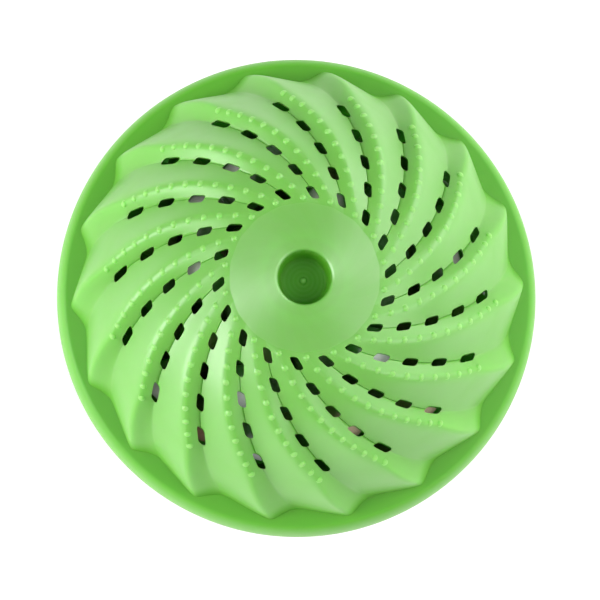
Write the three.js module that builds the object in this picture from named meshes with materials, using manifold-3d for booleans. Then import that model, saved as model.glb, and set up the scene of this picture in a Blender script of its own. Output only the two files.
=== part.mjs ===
import * as THREE from "three";
import { mergeVertices } from "three/addons/utils/BufferGeometryUtils.js";
import Module from "manifold-3d";

const wasm = await Module();
wasm.setup();

const DEG = Math.PI / 180;

// Driving dimensions, in millimetres unless the name says degrees
const BELT_R = 50; // outer radius at the parting plane
const BELT_W = 5; // how far the belt stands out from the creases
const CROWN_R = 15.6; // radius of the flat crown
const CROWN_RISE = 0.4; // height of the crown over the creases at its edge
const CROWN_BEVEL = 1.2; // width of the slope at its edge
const WALL = 2; // shell thickness
const GAP = 0.3; // clearance between separate pieces

// Vanes: creases on a sphere about the ball's centre, ridges a little above it
const VANES = 18;
const PITCH_DEG = 360 / VANES;
const RIDGE_H = 2.7; // height of a ridge over the creases
const RIDGE_H_CROWN = 0.4; // the same at the crown's edge
const RIDGE_FULL_DEG = 48; // polar angle from which the ridges have their full height
const SWIRL_DEG = [53.95, 24.4, -3.98]; // crease azimuth as a polynomial in ln tan(polar angle / 2)
const STEEP_DEG = [
  [20, 10],
  [45, 5.2],
  [58, 3.6],
  [83, 7.3],
]; // polar angles from the crown to the belt, and the width of a vane's steep face there
const GENTLE_BOW = 1.15; // power of the long face's curve
const STEEP_BOW = 1.15; // power of the short face's curve

// Slots: straight along Z, their ends on circles and their sides along the crease
const SLOT_ROWS = 5;
const SLOT_INSET = 1.75; // from the crown's edge to the middle of the first slots
const SLOT_STEP = 4.88; // from ring to ring
const SLOT_BAND = 2.5; // radial length of a slot
const SLOT_W = 1.7; // width across
const SLOT_CUT = 1; // how far a slot's cutter runs past the shell

// Belt: a sloping ledge and a rounded edge
const EDGE_W = 2.1; // radial half axis of the rounded edge
const EDGE_H = 6.3; // its height
const LEDGE_SLOPE_DEG = 12;

// Recess in the crown
const FLOOR_R = 4.8;
const RECESS_DEPTH = 7.8;
const RECESS_TAPER = 0.65; // how much wider its mouth is than its floor
const LIP = 0.65; // size of the rounded lip

// Closure: the lower half's spigot stands in the upper half's socket, and keys stop it turning
const SPIGOT_WALL = 1.8;
const SPIGOT_H = 5;
const KEYS = 3;
const KEY_W = 5.4;
const KEY_H = 2.7;
const KEY_ROOT = 1; // how far a key or its cutter runs into what it joins or cuts

// Beads
const BEAD_R = 5;
const BEADS = 56; // as many of the charge as are modelled one by one
const BEAD_GAP = 0.1;
const SEAT_STEP = 0.5; // spacing of the places tried for each bead
const KINDS = ["grey", "white", "tan", "grey", "brown"]; // repeats in this order

// Mesh fineness
const GENTLE_STEPS = 2; // columns over a vane's long face
const STEEP_STEPS = 2; // columns over its short face
const DOME_ROWS = 8;
const INNER_ROWS = 5;
const EDGE_ROWS = 3;
const RECESS_SIDES = 24;

const lerp = THREE.MathUtils.lerp;
const smooth = THREE.MathUtils.smoothstep;

const EDGE_R = BELT_R - EDGE_W;
const CREASE_R = BELT_R - BELT_W; // radius of the sphere of the creases
const INNER_R = CREASE_R - WALL; // radius that is free inside, under the creases
const CROWN_Z = Math.sqrt(CREASE_R ** 2 - CROWN_R ** 2) + CROWN_RISE;
const INNER_CROWN_Z = CROWN_Z - WALL;
const MOUTH_R = FLOOR_R + RECESS_TAPER;
const BOSS_R = MOUTH_R + WALL; // the recess's outside, under the crown
const BOSS_Z = CROWN_Z - RECESS_DEPTH - WALL;
const SPIGOT_R = INNER_R + SPIGOT_WALL;
const SOCKET_R = SPIGOT_R + GAP;

const polar = (r, azimuth, z) =>
  new THREE.Vector3(r * Math.cos(azimuth), r * Math.sin(azimuth), z);

// Azimuth of a crease at a polar angle, both in radians
function creaseAt(phi) {
  const u = Math.log(Math.tan(phi / 2));
  return DEG * (SWIRL_DEG[0] + SWIRL_DEG[1] * u + SWIRL_DEG[2] * u * u);
}

// Width of the steep face at a polar angle
function steepWidth(phi) {
  const deg = THREE.MathUtils.clamp(phi / DEG, STEEP_DEG[0][0], STEEP_DEG.at(-1)[0]);
  const next = STEEP_DEG.findIndex(([at], i) => i > 0 && deg <= at);
  const [from, start] = STEEP_DEG[next - 1];
  const [to, end] = STEEP_DEG[next];
  return DEG * lerp(start, end, (deg - from) / (to - from));
}

// Height of a full ridge at a polar angle
function ridgeHeight(phi) {
  const crownEdge = Math.atan2(CROWN_R, CROWN_Z);
  return lerp(RIDGE_H_CROWN, RIDGE_H, smooth(phi, crownEdge, RIDGE_FULL_DEG * DEG));
}

// The lines that make up one vane: where each lies between creases, and its share of the ridge's height
function vaneLines() {
  const lines = [];
  for (let i = 0; i < GENTLE_STEPS; i++) {
    const t = i / GENTLE_STEPS;
    lines.push({ gentle: t, steep: 0, rise: 1 - (1 - t) ** GENTLE_BOW });
  }
  for (let i = 0; i < STEEP_STEPS; i++) {
    const t = i / STEEP_STEPS;
    lines.push({ gentle: 1, steep: t, rise: 1 - t ** STEEP_BOW });
  }
  return lines;
}

function lineAzimuth(line, vane, phi) {
  const steep = steepWidth(phi);
  const along = line.gentle * (PITCH_DEG * DEG - steep) + line.steep * steep;
  return creaseAt(phi) + vane * PITCH_DEG * DEG + along;
}

// Polar angle at which a sphere of radius r meets the belt's ledge
function ledgePolar(r) {
  const slope = Math.tan(LEDGE_SLOPE_DEG * DEG);
  const apex = EDGE_H + EDGE_R * slope; // height at which the ledge's cone meets the axis
  const a = 1 + slope * slope;
  const b = -2 * apex * slope;
  const ringR = (-b + Math.sqrt(b * b - 4 * a * (apex * apex - r * r))) / (2 * a);
  return Math.asin(ringR / r);
}

const columns = [];
for (let vane = 0; vane < VANES; vane++) {
  for (const line of vaneLines()) {
    columns.push({ vane, line });
  }
}

const circle = (r, z, sides) =>
  Array.from({ length: sides }, (_, i) => polar(r, (i / sides) * 2 * Math.PI, z));

const ringOf = (place) => columns.map((column) => place(column));

// Rings of the outer surface from the crown's edge to the parting plane
function outerRings(rimZ) {
  const rings = [];
  const startPhi = Math.atan2(CROWN_R, CROWN_Z);
  rings.push(
    ringOf(({ vane, line }) => polar(CROWN_R, lineAzimuth(line, vane, startPhi), CROWN_Z)),
  );
  const firstPhi = Math.asin((CROWN_R + CROWN_BEVEL) / CREASE_R);
  for (let row = 0; row <= DOME_ROWS; row++) {
    rings.push(
      ringOf(({ vane, line }) => {
        const lastPhi = ledgePolar(CREASE_R + RIDGE_H * line.rise);
        const phi = lerp(firstPhi, lastPhi, row / DOME_ROWS);
        const r = CREASE_R + ridgeHeight(phi) * line.rise;
        return polar(r * Math.sin(phi), lineAzimuth(line, vane, phi), r * Math.cos(phi));
      }),
    );
  }
  for (let row = 0; row <= EDGE_ROWS; row++) {
    const t = ((1 - row / EDGE_ROWS) * Math.PI) / 2;
    const r = EDGE_R + EDGE_W * Math.cos(t);
    const z = Math.max(EDGE_H * Math.sin(t), rimZ);
    rings.push(beltRing(r, z));
  }
  return rings;
}

// A ring at the belt, its points at the azimuths where the vanes' lines meet the ledge
function beltRing(r, z) {
  return ringOf(({ vane, line }) => {
    const phi = ledgePolar(CREASE_R + RIDGE_H * line.rise);
    return polar(r, lineAzimuth(line, vane, phi), z);
  });
}

// Rings of the inner surface from a height near the rim up to the crown
function innerRings(startZ) {
  const rings = [];
  const startPhi = Math.acos(startZ / INNER_R);
  const endPhi = Math.asin((CROWN_R - WALL / 2) / INNER_R);
  for (let row = 0; row <= INNER_ROWS; row++) {
    const t = row / INNER_ROWS;
    const phi = lerp(startPhi, endPhi, t);
    rings.push(
      ringOf(({ vane, line }) => {
        const r = INNER_R + RIDGE_H * line.rise * Math.sin(t * Math.PI) ** 2;
        const z = Math.min(r * Math.cos(phi), INNER_CROWN_Z);
        return polar(r * Math.sin(phi), lineAzimuth(line, vane, phi), z);
      }),
    );
  }
  return rings;
}

// Triangles between two rings of points, by azimuth where they differ in number
function bridge(triangles, a, b) {
  if (a.length === 1) {
    b.forEach((p, i) => triangles.push(a[0], p, b[(i + 1) % b.length]));
    return;
  }
  if (b.length === 1) {
    a.forEach((p, i) => triangles.push(p, b[0], a[(i + 1) % a.length]));
    return;
  }
  if (a.length === b.length) {
    a.forEach((p, i) => {
      const j = (i + 1) % a.length;
      triangles.push(p, b[i], b[j], p, b[j], a[j]);
    });
    return;
  }
  const start = Math.atan2(a[0].y, a[0].x);
  const turn = (p) => {
    const angle = (Math.atan2(p.y, p.x) - start) / (2 * Math.PI);
    return angle - Math.floor(angle + 1e-9);
  };
  const sorted = [...b].sort((p, q) => turn(p) - turn(q));
  let i = 0;
  let j = 0;
  while (i < a.length || j < sorted.length) {
    const nextA = i + 1 < a.length ? turn(a[i + 1]) : 1;
    const nextB = j + 1 < sorted.length ? turn(sorted[j + 1]) : 1 + turn(sorted[0]);
    const p = a[i % a.length];
    const q = sorted[j % sorted.length];
    if (j >= sorted.length || (i < a.length && nextA <= nextB)) {
      triangles.push(p, q, a[(i + 1) % a.length]);
      i += 1;
    } else {
      triangles.push(p, q, sorted[(j + 1) % sorted.length]);
      j += 1;
    }
  }
}

function geometryFromRings(rings) {
  const triangles = [];
  rings.slice(1).forEach((ring, i) => bridge(triangles, rings[i], ring));
  return new THREE.BufferGeometry().setFromPoints(triangles);
}

function toManifold(geometry) {
  const bare = geometry.index ? geometry.toNonIndexed() : geometry.clone();
  bare.deleteAttribute("normal");
  bare.deleteAttribute("uv");
  const merged = mergeVertices(bare, 1e-4);
  return new wasm.Manifold(
    new wasm.Mesh({
      numProp: 3,
      vertProperties: merged.attributes.position.array,
      triVerts: new Uint32Array(merged.index.array),
    }),
  );
}

function toGeometry(solid) {
  const mesh = solid.getMesh();
  return new THREE.BufferGeometry()
    .setAttribute("position", new THREE.BufferAttribute(mesh.vertProperties, 3))
    .setIndex(new THREE.BufferAttribute(mesh.triVerts, 1));
}

// One slot as a prism along Z
function slotPrism(ringR, vane) {
  const corner = (r, side) => {
    const azimuth = creaseAt(Math.asin(r / CREASE_R)) + vane * PITCH_DEG * DEG;
    const p = polar(r, azimuth + (side * SLOT_W) / 2 / r, 0);
    return new THREE.Vector2(p.x, p.y);
  };
  const low = ringR - SLOT_BAND / 2;
  const high = ringR + SLOT_BAND / 2;
  const shape = new THREE.Shape([corner(low, -1), corner(high, -1), corner(high, 1), corner(low, 1)]);
  const top = Math.sqrt(CREASE_R ** 2 - low ** 2) + RIDGE_H + SLOT_CUT;
  const bottom = Math.sqrt(INNER_R ** 2 - Math.min(high, INNER_R) ** 2) - SLOT_CUT;
  const prism = new THREE.ExtrudeGeometry(shape, { depth: top - bottom, bevelEnabled: false });
  return toManifold(prism.translate(0, 0, bottom));
}

function slots() {
  const prisms = [];
  for (let row = 0; row < SLOT_ROWS; row++) {
    for (let vane = 0; vane < VANES; vane++) {
      prisms.push(slotPrism(CROWN_R + SLOT_INSET + row * SLOT_STEP, vane));
    }
  }
  return wasm.Manifold.union(prisms);
}

// Key blocks spread round the rim, from one height to another
function keys(innerR, outerR, width, fromZ, toZ) {
  const blocks = [];
  for (let i = 0; i < KEYS; i++) {
    const block = new THREE.BoxGeometry(outerR - innerR, width, toZ - fromZ);
    block.translate((outerR + innerR) / 2, 0, (fromZ + toZ) / 2);
    blocks.push(toManifold(block.rotateZ((i / KEYS) * 2 * Math.PI)));
  }
  return wasm.Manifold.union(blocks);
}

// Rings of the recess and the crown, outside and inside
const recessRings = [
  [new THREE.Vector3(0, 0, CROWN_Z - RECESS_DEPTH)],
  circle(FLOOR_R, CROWN_Z - RECESS_DEPTH, RECESS_SIDES),
  circle(MOUTH_R, CROWN_Z - LIP, RECESS_SIDES),
  circle(MOUTH_R + LIP, CROWN_Z, RECESS_SIDES),
];
const bossRings = [
  circle(BOSS_R, INNER_CROWN_Z, RECESS_SIDES),
  circle(FLOOR_R + WALL, BOSS_Z, RECESS_SIDES),
  [new THREE.Vector3(0, 0, BOSS_Z)],
];

// A half with its crown up and its parting face near z = 0. The rim's rings lead from the outside in.
function half(rimRings, inner) {
  const rings = [...recessRings, ...outerRings(GAP / 2), ...rimRings, ...inner, ...bossRings];
  return toManifold(geometryFromRings(rings)).subtract(slots());
}

const socketTop = SPIGOT_H + GAP;
const upper = half(
  [beltRing(SOCKET_R, GAP / 2), beltRing(SOCKET_R, socketTop)],
  innerRings(socketTop),
).add(keys(INNER_R, SOCKET_R + KEY_ROOT, KEY_W, socketTop - KEY_H, socketTop + KEY_ROOT));

const lower = half(
  [
    beltRing(SPIGOT_R, GAP / 2),
    beltRing(SPIGOT_R, -SPIGOT_H),
    beltRing(INNER_R, -SPIGOT_H),
  ],
  innerRings(GAP),
).subtract(
  keys(
    INNER_R - KEY_ROOT,
    SPIGOT_R + KEY_ROOT,
    KEY_W + 2 * GAP,
    -SPIGOT_H - KEY_ROOT,
    -SPIGOT_H + KEY_H + GAP,
  ),
);

const ball = new THREE.Group();

function addPiece(name, geometry) {
  const mesh = new THREE.Mesh(geometry);
  mesh.name = name;
  ball.add(mesh);
  return mesh;
}

addPiece("upper_shell", toGeometry(upper));
addPiece("lower_shell", toGeometry(lower)).rotation.x = Math.PI;

// Height at which a bead's centre rests over a place on the lower half's inside
function floorHeight(x, y) {
  const reach = INNER_R - GAP - BEAD_R;
  const r = Math.hypot(x, y);
  if (r > reach) {
    return Infinity;
  }
  const wall = -Math.sqrt(reach * reach - r * r);
  const crown = -INNER_CROWN_Z + GAP + BEAD_R;
  const beyond = Math.max(r - BOSS_R, 0);
  const clear = BEAD_R + GAP;
  const boss = beyond < clear ? -BOSS_Z + Math.sqrt(clear * clear - beyond * beyond) : -Infinity;
  return Math.max(wall, crown, boss);
}

// Each bead in turn takes the lowest seat left free by the bowl and the beads before it, up to the rim
function beadSeats(count) {
  const places = [];
  const span = Math.ceil(INNER_R / SEAT_STEP) * SEAT_STEP;
  for (let x = -span; x <= span; x += SEAT_STEP) {
    for (let y = -span; y <= span; y += SEAT_STEP) {
      const z = floorHeight(x, y);
      if (z < Infinity) {
        places.push(new THREE.Vector3(x, y, z));
      }
    }
  }
  const apart = 2 * BEAD_R + BEAD_GAP;
  const seats = [];
  while (seats.length < count) {
    const seat = places.reduce((best, p) => (p.z < best.z ? p : best)).clone();
    if (seat.z > -BEAD_R) {
      break;
    }
    seats.push(seat);
    for (const p of places) {
      const d = Math.hypot(p.x - seat.x, p.y - seat.y);
      if (d < apart) {
        p.z = Math.max(p.z, seat.z + Math.sqrt(apart * apart - d * d));
      }
    }
  }
  return seats;
}

const made = {};
beadSeats(BEADS).forEach((seat, i) => {
  const kind = KINDS[i % KINDS.length];
  made[kind] = (made[kind] ?? 0) + 1;
  const name = `bead_${kind}_${String(made[kind]).padStart(2, "0")}`;
  addPiece(name, new THREE.IcosahedronGeometry(BEAD_R, 1)).position.copy(seat);
});

export default ball;
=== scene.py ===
"""The laundry ball's looks: two slotted half shells with swirling vanes, and the ceramic beads inside."""

import math

import bpy
import numpy as np
from mathutils import Matrix, Vector


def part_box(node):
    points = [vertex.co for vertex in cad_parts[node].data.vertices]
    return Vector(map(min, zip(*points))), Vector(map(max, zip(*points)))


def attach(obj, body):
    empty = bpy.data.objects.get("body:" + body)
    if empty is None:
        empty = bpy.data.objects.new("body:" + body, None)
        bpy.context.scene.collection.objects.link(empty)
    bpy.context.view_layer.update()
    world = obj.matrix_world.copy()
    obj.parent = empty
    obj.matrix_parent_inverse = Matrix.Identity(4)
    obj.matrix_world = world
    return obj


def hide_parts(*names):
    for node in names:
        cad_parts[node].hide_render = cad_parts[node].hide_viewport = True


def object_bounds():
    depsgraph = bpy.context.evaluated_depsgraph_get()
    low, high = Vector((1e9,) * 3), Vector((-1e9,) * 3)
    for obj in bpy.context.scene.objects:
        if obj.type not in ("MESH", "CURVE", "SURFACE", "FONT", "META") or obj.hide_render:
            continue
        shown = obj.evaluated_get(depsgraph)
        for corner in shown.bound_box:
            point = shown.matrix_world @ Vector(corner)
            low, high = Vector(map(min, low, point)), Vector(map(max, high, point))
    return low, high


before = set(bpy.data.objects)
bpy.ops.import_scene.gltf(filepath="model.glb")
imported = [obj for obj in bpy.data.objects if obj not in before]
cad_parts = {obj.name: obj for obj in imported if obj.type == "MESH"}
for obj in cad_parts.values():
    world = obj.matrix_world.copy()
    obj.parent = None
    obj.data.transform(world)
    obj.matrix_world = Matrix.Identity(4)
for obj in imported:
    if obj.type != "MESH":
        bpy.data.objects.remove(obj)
cad_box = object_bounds()
scene = bpy.context.scene

# Sizes of the casing in millimetres, as in the part's source where it has them
MM = 0.001
BELT_R = min(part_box("upper_shell")[1].xy) / MM
CROWN_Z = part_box("upper_shell")[1].z / MM
BELT_W = 5.0
CREASE_R = round(BELT_R) - BELT_W
WALL = 2.0
GAP = 0.3
CROWN_R = 15.6
CROWN_BLEND_R = 13.0
CROWN_BLEND = 0.22
CROWN_SAG = 0.5
TURNED_INSET = 0.4
VANES = 18
PITCH = math.tau / VANES
RIDGE_H = 2.7
RIDGE_H_CROWN = 0.4
RIDGE_FULL = math.radians(48)
SWIRL_DEG = (53.95, 24.4, -3.98)
STEEP_AT = np.radians((20, 45, 58, 83))
STEEP_WIDTH = np.radians((10, 5.2, 3.6, 7.3))
GENTLE_HOLLOW = 1.4
STEEP_BOW = 1.15
STEEP_HOLLOW = 1.8
VALLEY_SHARP = math.radians(52)
VALLEY_SOFT = math.radians(70)
CREST_SHARPNESS = (3.2, 5.0)
CREST_ROUND = math.radians(42)
CREST_CRISP = math.radians(76)
LONG_PAST_CREST = 0.4
SHORT_PAST_CREST = 2.5
LEAST_RISE = 1e-6
CREASE_GROOVE = 0.3
GROOVE_EDGES = (0.02, 0.94)
EDGE_W = 2.1
EDGE_H = 6.3
LEDGE_SLOPE = math.radians(12)
FLOOR_R = 4.8
RECESS_DEPTH = 7.8
RECESS_TAPER = 0.65
LIP = 0.65
GATE_R = 0.7
GATE_TOP_R = 0.56
GATE_H = 0.35
POCKET_H = 4.0
TOOL_STEP = 0.9
SPIGOT_WALL = 1.8
SPIGOT_H = 5.0
KEYS = 3
KEY_W = 5.4
KEY_H = 2.7
KEY_ROOT = 1.0

# Slots and bumps
SLOT_ROWS = 5
SLOT_FIRST_R = 17.35
SLOT_STEP = 4.88
SLOT_BAND = 2.5
SLOT_W = 1.95
SLOT_ROUND = (0.5, 1.1)
CUT_BEYOND = 1.0
BUMPS = 12
BUMP_R = 0.64
BUMP_RISE = 0.28
BUMP_SUNK = 0.38
BUMP_FIRST = math.radians(21)
BUMP_LAST = math.radians(58)
BUMP_LINE_DEG = (0.75, 6.57)
BUMP_BELOW_CROWN = 0.05

# Mesh fineness
GENTLE_STEPS = 12
STEEP_STEPS = 10
STEP_POWER = 1.6
DOME_ROWS = 72
INNER_ROWS = 30
EDGE_ROWS = 12
CROWN_ROWS = 7
FLOOR_CORNER_STEPS = 4
LIP_STEPS = 6
SLOT_CORNER_POINTS = 5
BALL_SIDES = 12
SHARP_FROM = math.radians(38)

# Bead charge
BEAD_R = (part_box("bead_grey_01")[1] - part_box("bead_grey_01")[0]).x / 2 / MM
BEAD_APART = 2 * BEAD_R + 0.1
SEAT_STEP = 1.0
SEAT_EDGE = 0.5
TOP_CLEARANCE = 8.5
KINDS = ("grey", "white", "tan", "grey", "brown")
# Beads that show through slots: ring of slots and vane, with parts of a step between them, and kind
BEADS_SEEN = (
    (0, 3.5, "grey"),
    (1, 8, "grey"),
    (1, 15, "white"),
    (2, 4.9, "grey"),
    (2, 6.15, "grey"),
    (2, 11, "white"),
    (2.9, 13, "tan"),
    (3, 17, "grey"),
    (3.8, 11, "white"),
    (4, 9, "grey"),
    (4, 10, "brown"),
    (4, 14, "tan"),
)

INNER_R = CREASE_R - WALL
EDGE_R = BELT_R - EDGE_W
INNER_CROWN_Z = CROWN_Z - WALL
MOUTH_R = FLOOR_R + RECESS_TAPER
BOSS_R = MOUTH_R + WALL
BOSS_Z = CROWN_Z - RECESS_DEPTH - WALL
SPIGOT_R = INNER_R + SPIGOT_WALL
SOCKET_R = SPIGOT_R + GAP


# Rule of the vanes


def smooth(x, low, high):
    t = np.clip((x - low) / (high - low), 0, 1)
    return t * t * (3 - 2 * t)


def crease_azimuth(phi):
    """The swirl: how far round a crease has come at a polar angle."""
    u = np.log(np.tan(phi / 2))
    return np.radians(SWIRL_DEG[0] + SWIRL_DEG[1] * u + SWIRL_DEG[2] * u * u)


def steep_width(phi):
    return np.interp(phi, STEEP_AT, STEEP_WIDTH)


def ridge_height(phi):
    full = smooth(phi, math.atan2(CROWN_R, CROWN_Z), RIDGE_FULL)
    return RIDGE_H_CROWN + (RIDGE_H - RIDGE_H_CROWN) * full


def ledge_polar(r):
    """Polar angle at which a sphere of radius r meets the belt's ledge."""
    slope = math.tan(LEDGE_SLOPE)
    apex = EDGE_H + EDGE_R * slope
    a = 1 + slope**2
    b = -2 * apex * slope
    ring = (-b + np.sqrt(b * b - 4 * a * (apex**2 - r**2))) / (2 * a)
    return np.arcsin(ring / r)


def bowed(t, power):
    """A face's rise from its crease (0) to the ridge (1), straight on beyond the ridge."""
    return np.where(t < 1, 1 - np.maximum(1 - t, 0) ** power, t)


def crest_sharpness(phi):
    """The ridges are round over the slots and crisp at the belt."""
    low, high = CREST_SHARPNESS
    return low + (high - low) * smooth(phi, CREST_ROUND, CREST_CRISP)


def rise_at(gentle, steep, phi):
    """Share of the ridge's height, the ridge rounded off, at shares of the long and the short face."""
    long_face = (gentle + steep * LONG_PAST_CREST) ** GENTLE_HOLLOW
    short = 1 - steep + (1 - gentle) * SHORT_PAST_CREST
    soft = smooth(phi, VALLEY_SHARP, VALLEY_SOFT)
    short_face = (1 - soft) * bowed(short, STEEP_BOW) + soft * short**STEEP_HOLLOW
    power = crest_sharpness(phi)
    long_part = np.maximum(long_face, LEAST_RISE) ** -power
    short_part = np.maximum(short_face, LEAST_RISE) ** -power
    return (long_part + short_part) ** (-1 / power)


class Vanes:
    """The lines of all vanes round the ball: their places between creases."""

    def __init__(self):
        gentle = 1 - (1 - np.arange(GENTLE_STEPS) / GENTLE_STEPS) ** STEP_POWER
        steep = (np.arange(STEEP_STEPS) / STEEP_STEPS) ** STEP_POWER
        gentle = np.insert(gentle, 1, GROOVE_EDGES[0])
        steep = np.append(steep, GROOVE_EDGES[1])
        lines = len(gentle) + len(steep)
        gentle = np.pad(gentle, (0, len(steep)), constant_values=1)
        steep = np.pad(steep, (lines - len(steep), 0))
        self.gentle = np.tile(gentle, VANES)
        self.steep = np.tile(steep, VANES)
        self.vane = np.repeat(np.arange(VANES), lines)
        self.in_crease = (self.gentle == 0) & (self.steep == 0)

    def rise(self, phi):
        return rise_at(self.gentle, self.steep, phi)

    def azimuth(self, phi):
        steep = steep_width(phi)
        along = self.gentle * (PITCH - steep) + self.steep * steep
        return crease_azimuth(phi) + self.vane * PITCH + along

    def ledge_azimuth(self):
        return self.azimuth(self.foot())

    def foot(self):
        """Polar angles at which the vanes end on the belt's ledge."""
        return ledge_polar(CREASE_R + RIDGE_H * self.rise(CREST_CRISP))


vanes = Vanes()


# Half shells


def ring_points(r, azimuth, z):
    """Points from radii, azimuths and heights, any of which may be one number for all."""
    r, azimuth, z = np.broadcast_arrays(r, azimuth, z)
    return np.stack([r * np.cos(azimuth), r * np.sin(azimuth), z], axis=1)


def round_rings(profile, azimuth):
    """Plain rings through the (radius, height) points of a profile."""
    return [ring_points(r, azimuth, z) for r, z in profile]


def arc(centre, radius, start, end, steps):
    """(radius, height) points of an arc in the ball's section, angles in degrees."""
    turns = np.radians(np.linspace(start, end, steps + 1))
    return [(centre[0] + radius * math.cos(t), centre[1] + radius * math.sin(t)) for t in turns]


def dome_rings():
    """Rings of the vanes from the crown down to the belt's ledge, with a fine groove along the slots."""
    rings = []
    first = math.asin(CROWN_BLEND_R / CREASE_R)
    last = vanes.foot()
    last_slot = SLOT_FIRST_R + (SLOT_ROWS - 1) * SLOT_STEP
    for row in range(DOME_ROWS + 1):
        phi = first + (last - first) * (row / DOME_ROWS)
        r = CREASE_R + ridge_height(phi) * vanes.rise(phi)
        along_slots = (r * np.sin(phi) > SLOT_FIRST_R) & (r * np.sin(phi) < last_slot)
        r = r - CREASE_GROOVE * vanes.in_crease * along_slots
        z = below_crown(r * np.cos(phi), r * np.sin(phi))
        rings.append(ring_points(r * np.sin(phi), vanes.azimuth(phi), z))
    return rings


def below_crown(z, r):
    """Heights of the dome, blended into the crown, which falls off a little towards its edge."""
    lip = MOUTH_R + LIP
    crown = CROWN_Z - CROWN_SAG * np.maximum(r - lip, 0) ** 2 / (CROWN_R - lip) ** 2
    return z - CROWN_BLEND * np.logaddexp(0, (z - crown) / CROWN_BLEND)


def belt_profile():
    """The ledge's last stretch and the rounded edge, down to the parting face."""
    points = []
    for t in np.linspace(math.pi / 2, 0, EDGE_ROWS + 1):
        points.append((EDGE_R + EDGE_W * math.cos(t), max(EDGE_H * math.sin(t), GAP / 2)))
    return points


def inner_rings(start_z):
    """Rings of the inside from a height up to the crown, hollowed under the vanes."""
    rings = []
    start = math.acos(start_z / INNER_R)
    end = math.asin((CROWN_R - WALL / 2) / INNER_R)
    for t in np.linspace(0, 1, INNER_ROWS + 1):
        phi = start + (end - start) * t
        r = INNER_R + RIDGE_H * vanes.rise(phi) * math.sin(t * math.pi) ** 2
        z = np.minimum(r * math.cos(phi), INNER_CROWN_Z)
        rings.append(ring_points(r * math.sin(phi), vanes.azimuth(phi), z))
    return rings


def half_rings(rim_profile, inner_start):
    """Rings of a half, crown up, from the middle of the recess out, round the rim and back inside."""
    floor_z = CROWN_Z - RECESS_DEPTH
    crown_azimuth = vanes.azimuth(math.atan2(CROWN_R, CROWN_Z))
    recess = [(0.0, floor_z + GATE_H), (GATE_TOP_R, floor_z + GATE_H), (GATE_R, floor_z)]
    recess += arc((FLOOR_R - LIP, floor_z + LIP), LIP, -90, 0, FLOOR_CORNER_STEPS)
    recess += arc((MOUTH_R + LIP, CROWN_Z - LIP), LIP, 180, 90, LIP_STEPS)
    crown_r = np.linspace(MOUTH_R + LIP, CROWN_BLEND_R, CROWN_ROWS + 1)[1:-1]
    crown = [(r, below_crown(CREASE_R, r)) for r in crown_r]
    inside = [(r, INNER_CROWN_Z) for r in (BOSS_R + LIP, BOSS_R)]
    inside += [(FLOOR_R + WALL, BOSS_Z), (0.0, BOSS_Z)]
    rings = round_rings(recess + crown, crown_azimuth)
    rings += dome_rings()
    rings += round_rings(belt_profile() + rim_profile, vanes.ledge_azimuth())
    rings += inner_rings(inner_start)
    rings += round_rings(inside, crown_azimuth)
    return rings


def mesh_from_rings(name, rings):
    """A closed mesh from rings of equal counts, of which the first and the last lie on one point."""
    count = len(rings[0])
    body = np.concatenate([rings[0][:1], *rings[1:-1], rings[-1][:1]]) * MM
    following = np.roll(np.arange(count), -1)
    here = np.arange(count)
    faces = [(0, 1 + i, 1 + j) for i, j in zip(here, following)]
    for row in range(len(rings) - 3):
        a = 1 + row * count
        b = a + count
        faces += [(a + i, b + i, b + j, a + j) for i, j in zip(here, following)]
    pole = len(body) - 1
    a = pole - count
    faces += [(a + i, pole, a + j) for i, j in zip(here, following)]
    mesh = bpy.data.meshes.new(name)
    mesh.from_pydata(body.tolist(), [], [tuple(int(v) for v in face) for face in faces])
    mesh.update()
    return mesh


def add_object(name, mesh):
    made = bpy.data.objects.new(name, mesh)
    scene.collection.objects.link(made)
    return made


# Slot cutters and bump places of one vane


def slot_outline(ring_r):
    """Plan of a slot: ends on circles, sides along the crease, corners rounded."""
    corners = []
    for dr, side in ((-1, -1), (1, -1), (1, 1), (-1, 1)):
        r = ring_r + dr * SLOT_BAND / 2
        turn = crease_azimuth(math.asin(r / CREASE_R)) + side * SLOT_W / 2 / r
        corners.append(Vector((r * math.cos(turn), r * math.sin(turn))))
    outline = []
    for i, corner in enumerate(corners):
        before = (corners[i - 1] - corner).normalized()
        after = (corners[(i + 1) % 4] - corner).normalized()
        cut = SLOT_ROUND[1] if before.dot(after) > 0 else SLOT_ROUND[0]
        before *= cut
        after *= cut
        for t in np.linspace(0, 1, SLOT_CORNER_POINTS):
            outline.append(corner + before * (1 - t) ** 2 + after * t**2)
    return outline


def slot_row_mesh():
    """The cutters of one vane's slots, straight along Z."""
    vertices = []
    faces = []
    for row in range(SLOT_ROWS):
        ring_r = SLOT_FIRST_R + row * SLOT_STEP
        outline = slot_outline(ring_r)
        top = math.sqrt(CREASE_R**2 - (ring_r - SLOT_BAND / 2) ** 2) + RIDGE_H + CUT_BEYOND
        bottom = math.sqrt(INNER_R**2 - (ring_r + SLOT_BAND / 2) ** 2) - CUT_BEYOND
        start = len(vertices)
        count = len(outline)
        vertices += [(p.x * MM, p.y * MM, bottom * MM) for p in outline]
        vertices += [(p.x * MM, p.y * MM, top * MM) for p in outline]
        faces.append([start + i for i in reversed(range(count))])
        faces.append([start + count + i for i in range(count)])
        for i in range(count):
            j = (i + 1) % count
            faces.append([start + i, start + j, start + count + j, start + count + i])
    mesh = bpy.data.meshes.new("slot_row")
    mesh.from_pydata(vertices, [], faces)
    return mesh


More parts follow.
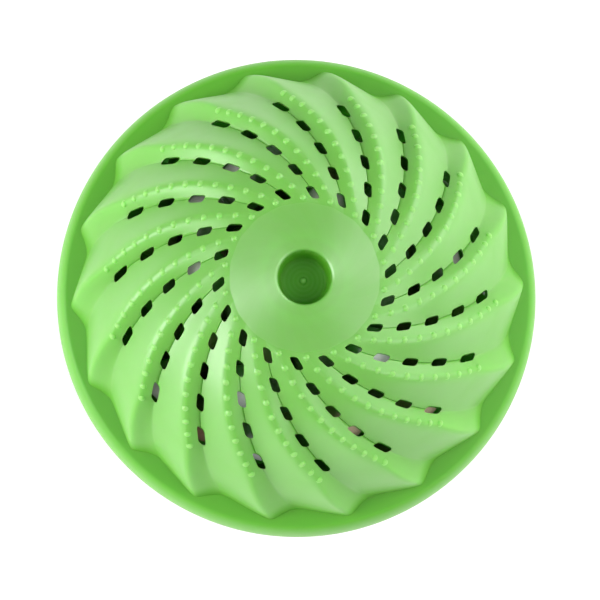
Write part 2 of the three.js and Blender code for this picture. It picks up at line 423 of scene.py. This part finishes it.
def bump_row_mesh():
    """Middles of one vane's bumps, sunk into its ridge."""
    phi = np.linspace(BUMP_FIRST, BUMP_LAST, BUMPS)
    before = -np.radians(BUMP_LINE_DEG[0] + BUMP_LINE_DEG[1] * np.log(np.tan(phi / 2)))
    width = steep_width(phi)
    steep = np.clip(1 - before / width, 0, 1)
    gentle = np.clip(1 - (before - width) / (PITCH - width), 0, 1)
    r = CREASE_R + ridge_height(phi) * rise_at(gentle, steep, phi)
    azimuth = crease_azimuth(phi) - before
    highest = CROWN_Z - BUMP_RISE - BUMP_BELOW_CROWN
    height = np.minimum(below_crown(r * np.cos(phi), r * np.sin(phi)), highest)
    sunk = 1 - BUMP_SUNK / CREASE_R
    points = ring_points(r * np.sin(phi), azimuth, height) * sunk * MM
    mesh = bpy.data.meshes.new("bump_row")
    mesh.from_pydata(points.tolist(), [], [])
    return mesh


def key_mesh(inner_r, outer_r, width, low, high):
    """Key blocks spread round the rim, from one height to another."""
    vertices = []
    faces = []
    for i in range(KEYS):
        turn = Matrix.Rotation(math.tau * i / KEYS, 3, "Z")
        start = len(vertices)
        for z in (low, high):
            for x, y in ((inner_r, -1), (outer_r, -1), (outer_r, 1), (inner_r, 1)):
                vertices.append(turn @ Vector((x, y * width / 2, z)) * MM)
        faces.append([start + j for j in (3, 2, 1, 0)])
        faces.append([start + j for j in (4, 5, 6, 7)])
        for j in range(4):
            k = (j + 1) % 4
            faces.append([start + j, start + k, start + 4 + k, start + 4 + j])
    mesh = bpy.data.meshes.new("keys")
    mesh.from_pydata(vertices, [], faces)
    return mesh


# Geometry node trees


class Tree:
    """A node tree under construction. Sockets come out wrapped, so that sums of them add Math nodes."""

    def __init__(self, nodes, links):
        self.nodes = nodes
        self.links = links

    def node(self, kind, settings=None, **inputs):
        """A node by type: its settings first, then its sockets by name or number, as values or links."""
        made = self.nodes.new(kind)
        for key, value in (settings or {}).items():
            setattr(made, key, value)
        for key, value in inputs.items():
            plain = key.replace("_", " ")
            if key.startswith("in"):
                socket = made.inputs[int(key[2:])]
            else:
                socket = next(s for s in made.inputs if s.name == plain and s.enabled)
            if isinstance(value, Value):
                self.links.new(value.socket, socket)
            else:
                socket.default_value = value
        return made

    def value(self, kind, output=0, settings=None, **inputs):
        return Value(self, self.node(kind, settings, **inputs).outputs[output])


class Value:
    """One output socket, with arithmetic on numbers."""

    def __init__(self, tree, socket):
        self.tree = tree
        self.socket = socket

    def _math(self, operation, a, b):
        return self.tree.value("ShaderNodeMath", 0, {"operation": operation}, in0=a, in1=b)

    def __add__(self, other):
        return self._math("ADD", self, other)

    def __radd__(self, other):
        return self._math("ADD", other, self)

    def __sub__(self, other):
        return self._math("SUBTRACT", self, other)

    def __rsub__(self, other):
        return self._math("SUBTRACT", other, self)

    def __mul__(self, other):
        return self._math("MULTIPLY", self, other)

    def __rmul__(self, other):
        return self._math("MULTIPLY", other, self)

    def __truediv__(self, other):
        return self._math("DIVIDE", self, other)

    def __pow__(self, other):
        return self._math("POWER", self, other)

    def size(self):
        return self._math("ABSOLUTE", self, 0.0)

    def sign(self):
        return self._math("SIGN", self, 0.0)

    def sine(self):
        return self._math("SINE", self, 0.0)

    def log(self):
        return self._math("LOGARITHM", self, math.e)

    def fraction(self):
        return self._math("FRACT", self, 0.0)

    def arc_tangent(self, other):
        return self._math("ARCTAN2", self, other)

    def lesser(self, other):
        return self._math("MINIMUM", self, other)

    def clamped(self, low, high):
        return self.tree.value("ShaderNodeClamp", Value=self, Min=low, Max=high)


def geometry_tree(name, inputs):
    """A new geometry node tree with the named inputs, given as name to socket type."""
    group = bpy.data.node_groups.new(name, "GeometryNodeTree")
    group.interface.new_socket("Geometry", in_out="OUTPUT", socket_type="NodeSocketGeometry")
    group.interface.new_socket("Geometry", in_out="INPUT", socket_type="NodeSocketGeometry")
    for key, kind in inputs.items():
        group.interface.new_socket(key, in_out="INPUT", socket_type=kind)
    tree = Tree(group.nodes, group.links)
    entry = group.nodes.new("NodeGroupInput")
    sockets = {s.name: Value(tree, s) for s in entry.outputs if s.name}
    return group, tree, sockets


def turned_copies(tree, geometry, count):
    """Copies of a geometry round the ball's axis."""
    points = tree.value("GeometryNodePoints", Count=count)
    index = tree.value("GeometryNodeInputIndex")
    turn = tree.value("ShaderNodeCombineXYZ", Z=index * math.tau / count)
    copies = tree.value(
        "GeometryNodeInstanceOnPoints",
        Points=points,
        Instance=geometry,
        Rotation=turn,
    )
    return tree.value("GeometryNodeRealizeInstances", Geometry=copies)


def round_ball(tree, radius):
    """A ball of few faces, for what is repeated often."""
    rings = BALL_SIDES // 2
    return tree.value("GeometryNodeMeshUVSphere", Segments=BALL_SIDES, Rings=rings, Radius=radius)


def slots_and_bumps_tree():
    """Cuts a row of slots into every crease and sets a row of bumps on every ridge."""
    group, tree, given = geometry_tree(
        "slots_and_bumps",
        {
            "Slot row": "NodeSocketObject",
            "Bump row": "NodeSocketObject",
            "Keys": "NodeSocketObject",
            "Keyways": "NodeSocketObject",
            "Vanes": "NodeSocketInt",
            "Bump radius": "NodeSocketFloat",
            "Bump height": "NodeSocketFloat",
            "Bump reach": "NodeSocketFloat",
            "Bump finish": "NodeSocketMaterial",
            "Finish": "NodeSocketMaterial",
            "Crown radius": "NodeSocketFloat",
            "Crown foot": "NodeSocketFloat",
            "Crown finish": "NodeSocketMaterial",
        },
    )
    slot_row = tree.node("GeometryNodeObjectInfo", Object=given["Slot row"])
    cutters = turned_copies(tree, Value(tree, slot_row.outputs["Geometry"]), given["Vanes"])
    cut = tree.node("GeometryNodeMeshBoolean", {"operation": "DIFFERENCE", "solver": "MANIFOLD"})
    group.links.new(given["Geometry"].socket, cut.inputs["Mesh 1"])
    group.links.new(cutters.socket, cut.inputs["Mesh 2"])
    keyways = tree.node("GeometryNodeObjectInfo", Object=given["Keyways"])
    group.links.new(keyways.outputs["Geometry"], cut.inputs["Mesh 2"])
    keys = tree.node("GeometryNodeObjectInfo", Object=given["Keys"])
    bump_row = tree.node("GeometryNodeObjectInfo", Object=given["Bump row"])
    outward = tree.value("GeometryNodeInputPosition")
    facing = tree.value("FunctionNodeAlignRotationToVector", 0, {"axis": "Z"}, Vector=outward)
    ball = round_ball(tree, given["Bump radius"])
    flat = given["Bump height"] / given["Bump radius"]
    scale = tree.value("ShaderNodeCombineXYZ", X=1.0, Y=1.0, Z=flat)
    bumps = tree.value(
        "GeometryNodeInstanceOnPoints",
        Points=Value(tree, bump_row.outputs["Geometry"]),
        Instance=ball,
        Rotation=facing,
        Scale=scale,
    )
    all_bumps = turned_copies(tree, bumps, given["Vanes"])
    joined = tree.node("GeometryNodeMeshBoolean", {"operation": "UNION", "solver": "MANIFOLD"})
    for mesh in (cut.outputs["Mesh"], keys.outputs["Geometry"], all_bumps.socket):
        group.links.new(mesh, joined.inputs["Mesh 2"])
    part = tree.node("ShaderNodeSeparateXYZ", Vector=tree.value("GeometryNodeInputPosition"))
    x, y, z = (Value(tree, socket) for socket in part.outputs)
    across = (x * x + y * y) ** 0.5
    on_crown = (given["Crown radius"] - across).lesser(z - given["Crown foot"])
    middles = turned_copies(tree, Value(tree, bump_row.outputs["Geometry"]), given["Vanes"])
    to_points = {"target_element": "POINTS"}
    nearest = tree.value("GeometryNodeProximity", "Distance", to_points, Geometry=middles)
    on_bump = given["Bump reach"] - nearest
    finishes = [
        (given["Finish"], True),
        (given["Crown finish"], on_crown),
        (given["Bump finish"], on_bump),
    ]
    finish_tree(group, tree, Value(tree, joined.outputs["Mesh"]), finishes)
    return group


def beads_tree():
    """A round bead on each point."""
    group, tree, given = geometry_tree(
        "bead_charge",
        {"Bead radius": "NodeSocketFloat", "Finish": "NodeSocketMaterial"},
    )
    ball = round_ball(tree, given["Bead radius"])
    beads = tree.value("GeometryNodeInstanceOnPoints", Points=given["Geometry"], Instance=ball)
    solid = tree.value("GeometryNodeRealizeInstances", Geometry=beads)
    rounded = tree.value("GeometryNodeSetShadeSmooth", Geometry=solid)
    finish_tree(group, tree, rounded, [(given["Finish"], True)])
    return group


def finish_tree(group, tree, geometry, materials):
    """Ends a tree: real geometry with its materials, each with the faces that take it."""
    made = tree.value("GeometryNodeRealizeInstances", Geometry=geometry)
    for finish, faces in materials:
        made = tree.value("GeometryNodeSetMaterial", Geometry=made, Selection=faces, Material=finish)
    leave = group.nodes.new("NodeGroupOutput")
    group.links.new(made.socket, leave.inputs[0])


def made_by(tree, mesh, name, **values):
    """The plain mesh that a tree makes of a mesh, as an object of its own."""
    source = add_object(name + "_source", mesh)
    modifier = source.modifiers.new(name, "NODES")
    modifier.node_group = tree
    for item in tree.interface.items_tree:
        key = item.name.replace(" ", "_").lower()
        if item.in_out == "INPUT" and key in values:
            modifier[item.identifier] = values[key]
    graph = bpy.context.evaluated_depsgraph_get()
    result = bpy.data.meshes.new_from_object(source.evaluated_get(graph))
    source.modifiers.remove(modifier)
    bpy.data.objects.remove(source)
    result.name = name
    return add_object(name, result)


# Materials

BLACK = (0, 0, 0, 1)
WHITE = (1, 1, 1, 1)
PLASTIC_DARK = (0.155, 0.47, 0.055, 1)
PLASTIC_LIGHT = (0.195, 0.555, 0.08, 1)
# Paler green of the gate and the recess's turning marks, and of the bumps' painted highlight
PLASTIC_PALE = (0.30, 0.66, 0.165, 1)
# Green of the painted shade in the pockets round the belt and in the recess
PAINTED_SHADE_GREEN = (0.095, 0.40, 0.012, 1)
PLASTIC_ROUGH = 0.40
PLASTIC_IOR = 1.5
TURNED_IOR = 0.3
PLASTIC_SOCKETS = {
    "Emission Strength": 1.0,
    "Anisotropic Rotation": 0.25,
    "Coat IOR": 1.7,
    "Coat Roughness": 0.38,
    "Subsurface Weight": 0.5,
    "Subsurface Radius": (0.4, 1.0, 0.2),
    "Subsurface Scale": 0.004,
}

# Sockets of a Mix node for colours: factor, first colour, second colour, and the result
MIX_INPUTS = (0, 6, 7)
MIX_RESULT = 2

# Noise textures: scale and detail
CLOUDS = (55.0, 3.0)
GRAIN = (400.0, 2.0)
PEEL = (1500.0, 2.0)
FIRING = (180.0, 4.0)
SPECKS = (1400.0, 2.0)
FIBRES = (900.0, 3.0)
RELIEF_DEPTH = 0.0002

# How much each thing changes the plastic's colour, roughness, sheen or relief
RIDGE_TONE = 0.5
CLOUD_TONE = 0.6
POCKET_SHADE = 0.8
GRAIN_ROUGH = 0.08
SHADE_ROUGH = 0.15
OUTER_DULL = 0.65
SHORT_FACE_DULL = 0.4
TURNING_TONE = 0.05
RECESS_TONE = 0.10
TURNING_RELIEF = 3.0
PEEL_RELIEF = 0.04

# Radii over which the vanes' sheen fades towards the belt, and shares of a vane at a short face's edges
FADE_FROM = 31.0
FADE_TO = 40.0
CREST_FADE = 0.06
CREASE_FADE = 0.04

# Painted glow: light that comes through the wall, painted as emission on its inner face
WALL_GLOW = (0.006, 0.08, 0.001, 1)
GLOW_BELOW_CREASE = 1.2

# Painted glow: light that comes in by the slots, painted as emission on the outermost skin of the beads
BEAD_GLOW = 0.24
BEAD_GLOW_DEPTH = 2.5
BEAD_GLOW_FADE = 2.0
FIRING_TONE = 0.9
SPECK_TONE = 0.5
BEAD_TONE = -0.25
SPECK_ROUGH = 0.15
SAND_RELIEF = 0.12


def new_material(name):
    material = bpy.data.materials.new(name)
    material.use_nodes = True
    shader = material.node_tree.nodes["Principled BSDF"]
    return material, Tree(material.node_tree.nodes, material.node_tree.links), shader


def connect(tree, value, shader, socket):
    tree.links.new(value.socket, shader.inputs[socket])


def mix_colour(tree, factor, a, b):
    made = tree.node("ShaderNodeMix", {"data_type": "RGBA"})
    for number, value in zip(MIX_INPUTS, (factor, a, b)):
        if isinstance(value, Value):
            tree.links.new(value.socket, made.inputs[number])
        else:
            made.inputs[number].default_value = value
    return Value(tree, made.outputs[MIX_RESULT])


def noise(tree, texture, place):
    scale, detail = texture
    return tree.value("ShaderNodeTexNoise", Vector=place, Scale=scale, Detail=detail)


def relief(tree, shader, strength, height):
    bump = tree.value("ShaderNodeBump", Strength=strength, Distance=RELIEF_DEPTH, Height=height)
    connect(tree, bump, shader, "Normal")


def set_sockets(shader, values):
    for name, value in values.items():
        shader.inputs[name].default_value = value


def short_face(tree, x, y, z, across, radius):
    """1 on the vanes' short faces and 0 on the long ones. The lower half is the upper one turned over."""
    turn = (y * z.sign()).arc_tangent(x) / PITCH
    u = (across / (radius + z.size())).log()
    crease = math.radians(1) / PITCH * (SWIRL_DEG[0] + u * (SWIRL_DEG[1] + u * SWIRL_DEG[2]))
    along = (turn - crease).fraction()
    narrow_r = CREASE_R * math.sin(STEEP_AT[2])
    narrow_share = STEEP_WIDTH[2] / PITCH
    to_belt = ((across - narrow_r) / (CREASE_R - narrow_r)).clamped(0.0, 1.0)
    to_crown = ((narrow_r - across) / (narrow_r - CROWN_R)).clamped(0.0, 1.0)
    share = narrow_share + to_belt * (STEEP_WIDTH[3] / PITCH - narrow_share)
    share = share + to_crown * (STEEP_WIDTH[0] / PITCH - narrow_share)
    from_crest = ((along + share - 1) / CREST_FADE).clamped(0.0, 1.0)
    to_crease = ((1 - along) / CREASE_FADE).clamped(0.0, 1.0)
    return from_crest * to_crease


def green_plastic(name, dark, light, gloss, sheen, turned):
    """Satin moulded plastic with a faint orange peel, duller on the vanes' short faces and outer ends,
    duller in the pockets round the belt and in the recess, and painted darker there as shade."""
    material, tree, shader = new_material(name)
    place = tree.value("ShaderNodeTexCoord", "Object")
    part = tree.node("ShaderNodeSeparateXYZ", Vector=place)
    x, y, z = (Value(tree, socket) / MM for socket in part.outputs)
    radius = (x * x + y * y + z * z) ** 0.5
    across = (x * x + y * y) ** 0.5
    # Painted shade: the colour goes deeper in the pockets by the belt's ledge, fading out over the belt's
    # rim, and in the recess
    over_ledge = z.size() - EDGE_H - (EDGE_R - across) * math.tan(LEDGE_SLOPE)
    by_ledge = 1 - (over_ledge / POCKET_H).clamped(0.0, 1.0)
    pocket = by_ledge * ((EDGE_R + EDGE_W - across) / EDGE_W).clamped(0.0, 1.0)
    recess = ((MOUTH_R + LIP / 2 - across) / LIP).clamped(0.0, 1.0)
    shade = (POCKET_SHADE * pocket + recess).clamped(0.0, 1.0)
    # Lighter towards the crests and darker towards the creases, with a random cloudy tone
    height = ((radius - CREASE_R) / RIDGE_H).clamped(0.0, 1.0)
    cloud = noise(tree, CLOUDS, place)
    tone = (height * RIDGE_TONE + cloud * CLOUD_TONE).clamped(0.0, 1.0)
    turning = (across * (math.tau / TOOL_STEP)).sine()
    gate = ((GATE_R - across) / GATE_R).clamped(0.0, 1.0)
    marks = (gate + recess * (turning * TURNING_TONE + cloud * RECESS_TONE)).clamped(0.0, 1.0)
    colour = mix_colour(tree, tone, dark, light)
    colour = mix_colour(tree, shade, colour, PAINTED_SHADE_GREEN)
    colour = mix_colour(tree, marks, colour, PLASTIC_PALE)
    connect(tree, colour, shader, "Base Color")
    rough = PLASTIC_ROUGH + GRAIN_ROUGH * noise(tree, GRAIN, place) + SHADE_ROUGH * shade
    connect(tree, rough, shader, "Roughness")
    outer = ((across - FADE_FROM) / (FADE_TO - FADE_FROM)).clamped(0.0, 1.0)
    on_short_face = short_face(tree, x, y, z, across, radius)
    dull = (by_ledge + recess + OUTER_DULL * outer + SHORT_FACE_DULL * on_short_face).clamped(0.0, 1.0)
    connect(tree, sheen - sheen * dull, shader, "Coat Weight")
    relief(tree, shader, PEEL_RELIEF, noise(tree, PEEL, place) + TURNING_RELIEF * recess * turning)
    # Painted glow on the wall's inner face, clear of the boss, in place of light coming through the wall
    below = (CREASE_R - GLOW_BELOW_CREASE - radius).clamped(0.0, 1.0)
    inside = below * (across - BOSS_R).clamped(0.0, 1.0)
    connect(tree, mix_colour(tree, inside, BLACK, WALL_GLOW), shader, "Emission Color")
    set_sockets(shader, PLASTIC_SOCKETS)
    set_sockets(
        shader,
        {"IOR": PLASTIC_IOR + TURNED_IOR * turned, "Anisotropic": turned, "Specular IOR Level": gloss},
    )
    return material


def fired_ceramic(name, dark, light, rough):
    """Fired ceramic, speckled in two tones and slightly sandy, with a painted glow where it lies at the
    slots.
    """
    material, tree, shader = new_material(name)
    place = tree.value("ShaderNodeTexCoord", "Object")
    cloud = noise(tree, FIRING, place)
    speck = noise(tree, SPECKS, place)
    tone = (cloud * FIRING_TONE + speck * SPECK_TONE + BEAD_TONE).clamped(0.0, 1.0)
    colour = mix_colour(tree, tone, dark, light)
    connect(tree, colour, shader, "Base Color")
    # Painted glow: emission of the bead's own colour on its outer skin, where light comes in by the slots
    radius = tree.value("ShaderNodeVectorMath", "Value", {"operation": "LENGTH"}, in0=place) / MM
    by_slots = ((radius - INNER_R + BEAD_GLOW_DEPTH) / BEAD_GLOW_FADE).clamped(0.0, 1.0)
    connect(tree, mix_colour(tree, by_slots, BLACK, colour), shader, "Emission Color")
    connect(tree, rough + SPECK_ROUGH * speck, shader, "Roughness")
    relief(tree, shader, SAND_RELIEF, speck)
    set_sockets(shader, {"Emission Strength": BEAD_GLOW})
    return material


plastic = green_plastic("green_plastic", PLASTIC_DARK, PLASTIC_LIGHT, 0.45, sheen=0.85, turned=0.0)
turned_plastic = green_plastic("turned_plastic", PLASTIC_DARK, PLASTIC_LIGHT, 1.0, sheen=0.3, turned=0.8)
# The bumps are painted paler than the rest of the shell, as a painted highlight
bump_plastic = green_plastic("bump_plastic", PLASTIC_LIGHT, PLASTIC_PALE, 0.45, sheen=0.4, turned=0.0)
ceramics = {
    "grey": fired_ceramic("grey_ceramic", (0.36, 0.36, 0.33, 1), (0.58, 0.58, 0.53, 1), 0.35),
    "white": fired_ceramic("white_ceramic", (0.68, 0.65, 0.70, 1), (0.88, 0.86, 0.90, 1), 0.30),
    "tan": fired_ceramic("tan_ceramic", (0.55, 0.38, 0.27, 1), (0.80, 0.62, 0.48, 1), 0.40),
    "brown": fired_ceramic("brown_ceramic", (0.20, 0.11, 0.07, 1), (0.38, 0.23, 0.16, 1), 0.40),
}


# Half shells in place

slot_row = add_object("slot_row", slot_row_mesh())
bump_row = add_object("bump_row", bump_row_mesh())
fitting_out = slots_and_bumps_tree()

# A bump is the top of a flat round body of which the rest is sunk
bump_height = BUMP_RISE + BUMP_SUNK
bump_radius = BUMP_R / math.sqrt(1 - (BUMP_SUNK / bump_height) ** 2)


def half_shell(name, body, node, rim_profile, inner_start, turn, **closure):
    """One half with its slots, bumps and closure, riding on its body in place of its solid."""
    blank = mesh_from_rings(name + "_blank", half_rings(rim_profile, inner_start))
    shell = made_by(
        fitting_out,
        blank,
        name,
        slot_row=slot_row,
        bump_row=bump_row,
        vanes=VANES,
        bump_radius=bump_radius * MM,
        bump_height=bump_height * MM,
        bump_reach=math.hypot(BUMP_R, BUMP_SUNK) * MM,
        bump_finish=bump_plastic,
        finish=plastic,
        crown_radius=(CROWN_R - TURNED_INSET) * MM,
        crown_foot=(CROWN_Z - WALL / 2) * MM,
        crown_finish=turned_plastic,
        **closure,
    )
    shell.data.transform(turn)
    shell.data.shade_smooth()
    shell.data.set_sharp_from_angle(angle=SHARP_FROM)
    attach(shell, body)
    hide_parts(node)


socket_top = SPIGOT_H + GAP
keys_mesh = key_mesh(INNER_R, SOCKET_R + KEY_ROOT, KEY_W, socket_top - KEY_H, socket_top + KEY_ROOT)
keyways_mesh = key_mesh(
    INNER_R - KEY_ROOT,
    SPIGOT_R + KEY_ROOT,
    KEY_W + 2 * GAP,
    -SPIGOT_H - KEY_ROOT,
    -SPIGOT_H + KEY_H + GAP,
)
key_blocks = add_object("keys", keys_mesh)
keyway_blocks = add_object("keyways", keyways_mesh)
half_shell(
    "upper_casing",
    "upper_half",
    "upper_shell",
    [(SOCKET_R, GAP / 2), (SOCKET_R, socket_top)],
    socket_top,
    Matrix.Identity(4),
    keys=key_blocks,
)
half_shell(
    "lower_casing",
    "lower_half",
    "lower_shell",
    [(SPIGOT_R, GAP / 2), (SPIGOT_R, -SPIGOT_H), (INNER_R, -SPIGOT_H)],
    GAP,
    Matrix.Rotation(math.pi, 4, "X"),
    keyways=keyway_blocks,
)
for pattern in (slot_row, bump_row, key_blocks, keyway_blocks):
    bpy.data.objects.remove(pattern)


# Beads: those of the frame, those seen behind slots, and the rest of the charge


def centre_of(node):
    low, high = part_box(node)
    return (low + high) / 2 / MM


def beads_of_frame():
    """Places of the frame's beads by kind."""
    found = {kind: [] for kind in ceramics}
    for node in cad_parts:
        if node.startswith("bead_"):
            found[node.split("_")[1]].append(centre_of(node))
    return found


def bead_behind(ring, vane):
    """Place of a bead that lies against the upper half's inside, at a slot or between two."""
    r = SLOT_FIRST_R + ring * SLOT_STEP
    azimuth = crease_azimuth(math.asin(r / CREASE_R)) + vane * PITCH
    contact = Vector((r * math.cos(azimuth), r * math.sin(azimuth), math.sqrt(INNER_R**2 - r * r)))
    return contact * ((INNER_R - GAP - BEAD_R) / INNER_R)


def fill_up(placed, top_clearance):
    """Seats for more beads, each the lowest one free, up to some way below the upper half."""
    reach = INNER_R - GAP - BEAD_R
    axis = np.arange(-reach, reach, SEAT_STEP)
    x, y = (g.ravel() for g in np.meshgrid(axis, axis))
    inside = np.hypot(x, y) < reach - SEAT_EDGE
    x = x[inside]
    y = y[inside]
    across = np.hypot(x, y)
    z = -np.sqrt(reach**2 - across**2)
    roof = np.sqrt(reach**2 - across**2) - top_clearance
    beyond = np.maximum(across - BOSS_R, 0)
    clear = BEAD_R + GAP
    over_boss = np.sqrt(np.maximum(clear**2 - beyond**2, 0))
    near_boss = beyond < clear
    z = np.where(near_boss, np.maximum(z, over_boss - BOSS_Z), z)
    roof = np.where(near_boss, np.minimum(roof, BOSS_Z - over_boss), roof)
    seats = []

    def kept_clear(p):
        """Columns that a bead at p reaches into, and how far from its height it keeps others there."""
        near = np.hypot(x - p[0], y - p[1])
        return near < BEAD_APART, np.sqrt(np.maximum(BEAD_APART**2 - near**2, 0))

    def raise_floor(p):
        hit, apart = kept_clear(p)
        z[hit] = np.maximum(z[hit], p[2] + apart[hit])

    def lower_roof(p):
        hit, apart = kept_clear(p)
        roof[hit] = np.minimum(roof[hit], p[2] - apart[hit])

    for p in placed:
        if p[2] < 0:
            raise_floor(p)
        else:
            lower_roof(p)
    while True:
        free = np.where(z <= roof, z, np.inf)
        best = int(np.argmin(free))
        if not np.isfinite(free[best]):
            return seats
        seat = np.array((x[best], y[best], z[best]))
        seats.append(seat)
        raise_floor(seat)


def clear_of(place, others):
    """Whether a bead fits at a place beside others."""
    return all((place - other).length > BEAD_APART - GAP for other in others)


charge = beads_of_frame()
known = [p for places in charge.values() for p in places]
for ring, vane, kind in BEADS_SEEN:
    place = bead_behind(ring, vane)
    charge[kind].append(place)
    known.append(place)
# Each of those lies on others, down to the height of the rim
more = []
for ring, vane, kind in BEADS_SEEN:
    place = bead_behind(ring, vane) - Vector((0, 0, BEAD_APART))
    while place.z > BEAD_R and clear_of(place, known):
        more.append(place)
        known.append(place)
        place = place - Vector((0, 0, BEAD_APART))
more += [Vector(seat) for seat in fill_up(known, TOP_CLEARANCE)]
for i, place in enumerate(more):
    charge[KINDS[i % len(KINDS)]].append(place)

bead_maker = beads_tree()
for kind, places in charge.items():
    points = bpy.data.meshes.new(kind + "_places")
    points.from_pydata([tuple(p * MM) for p in places], [], [])
    beads = made_by(bead_maker, points, kind + "_beads", bead_radius=BEAD_R * MM, finish=ceramics[kind])
    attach(beads, "bead_charge")
    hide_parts(*[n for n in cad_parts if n.startswith(f"bead_{kind}_")])


# Floor, light and camera

FLOOR_SIZE = 3.0
FLOOR_DARK = (0.49, 0.49, 0.49, 1)
FLOOR_LIGHT = (0.52, 0.52, 0.52, 1)
FLOOR_SOCKETS = {"Roughness": 0.9, "Emission Color": WHITE, "Emission Strength": 0.64}
LAMP_Z = 0.36
HIGH_LAMP_Z = 0.56
WALL_SIZE = (0.5, 1.9)
BOX_SIZE = (0.4, 0.8)
WORLD_LIGHT = 0.275

floor_mesh = bpy.data.meshes.new("floor")
quarters = ((-1, -1), (1, -1), (1, 1), (-1, 1))
corners = [(x * FLOOR_SIZE, y * FLOOR_SIZE, cad_box[0].z) for x, y in quarters]
floor_mesh.from_pydata(corners, [], [(0, 1, 2, 3)])
floor = add_object("floor", floor_mesh)
floor_paper, floor_tree, floor_shader = new_material("floor_paper")
floor_place = floor_tree.value("ShaderNodeTexCoord", "Object")
floor_fibres = noise(floor_tree, FIBRES, floor_place)
floor_colour = mix_colour(floor_tree, floor_fibres, FLOOR_DARK, FLOOR_LIGHT)
connect(floor_tree, floor_colour, floor_shader, "Base Color")
set_sockets(floor_shader, FLOOR_SOCKETS)
floor_mesh.materials.append(floor_paper)


def soft_box(name, place, size, power):
    """A rectangle of light that faces the ball."""
    light = bpy.data.lights.new(name, "AREA")
    light.shape = "RECTANGLE"
    light.size = size[0]
    light.size_y = size[1]
    light.energy = power
    made = add_object(name, light)
    made.location = place
    made.rotation_euler = (-Vector(place)).to_track_quat("-Z", "Y").to_euler()


soft_box("left_wall", (-0.80, -0.15, LAMP_Z), WALL_SIZE, 8.2)
soft_box("right_wall", (0.80, 0.20, LAMP_Z), WALL_SIZE, 5.8)
soft_box("left_box", (-0.80, -0.20, LAMP_Z), BOX_SIZE, 3.8)
soft_box("far_right_box", (0.58, 0.58, LAMP_Z), BOX_SIZE, 3.0)
soft_box("right_box", (0.60, -0.32, HIGH_LAMP_Z), BOX_SIZE, 2.6)

world = bpy.data.worlds.new("studio")
world.use_nodes = True
set_sockets(world.node_tree.nodes["Background"], {"Color": WHITE, "Strength": WORLD_LIGHT})
scene.world = world
scene.view_settings.view_transform = "Standard"

# The photograph's view: 600 pixels square, the belt 239.7 pixels in radius, the axis leaning 6 degrees
IMAGE = 600
BELT_PIXELS = 239.7
DISTANCE_PIXELS = 5000.0
CENTRE_PIXEL = (296.53, 297.73)
LEAN = math.radians(6)
LEAN_TOWARDS = Vector((0.372, 0.928, 0)).normalized()
SENSOR = 36.0
FAR_CLIP = 20

pixel = (CREASE_R + BELT_W) * MM / BELT_PIXELS
camera_data = bpy.data.cameras.new("camera")
camera_data.sensor_width = SENSOR
camera_data.lens = SENSOR * DISTANCE_PIXELS / IMAGE
camera_data.shift_x = (IMAGE / 2 - CENTRE_PIXEL[0]) / IMAGE
camera_data.shift_y = (CENTRE_PIXEL[1] - IMAGE / 2) / IMAGE
camera_data.clip_end = FAR_CLIP
camera = add_object("camera", camera_data)
tip = Matrix.Rotation(LEAN, 4, Vector((LEAN_TOWARDS.y, -LEAN_TOWARDS.x, 0)))
camera.matrix_world = tip @ Matrix.Translation((0, 0, DISTANCE_PIXELS * pixel))
scene.camera = camera
